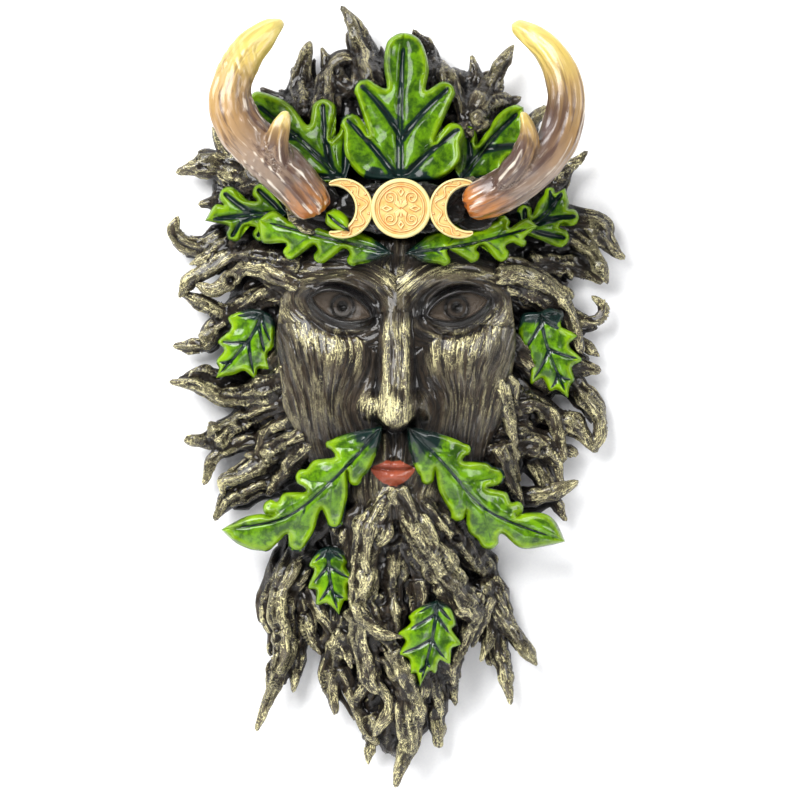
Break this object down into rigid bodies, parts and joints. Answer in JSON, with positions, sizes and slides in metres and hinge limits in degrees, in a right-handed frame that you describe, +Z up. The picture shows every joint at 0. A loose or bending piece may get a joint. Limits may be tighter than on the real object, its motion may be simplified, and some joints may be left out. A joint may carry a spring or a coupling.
{
  "type": "green man mask",
  "caption": "Wall mask of a horned foliate face: roots for mane, beard and crown, glossy oak leaves laid over them, two antlers and a triple moon badge, flat behind.",
  "frame": {"origin": "on the flat back, on the middle line of the face and half way up the plaque", "axes": "+Z up, +Y into the wall, -Y the way the face looks, +X to the right as seen from the front"},
  "size_m": [0.231, 0.0824, 0.3924],
  "materials": {
    "root_and_leaf_paint": "cast resin painted by hand: near-black brown roots dry-brushed with cream, leaf green with dark teal in the hollows, glossy lacquer",
    "horn_paint": "cast resin painted tan to cream at the tip with grey streaks along it, glossy lacquer",
    "moon_paint": "cast resin painted cream gold with an orange wash in the hollows, satin lacquer"
  },
  "bodies": {
    "root": {"mask": "root_and_leaf_paint", "left_antler": "horn_paint", "right_antler": "horn_paint", "triple_moon_badge": "moon_paint"}
  },
  "joints": []
}
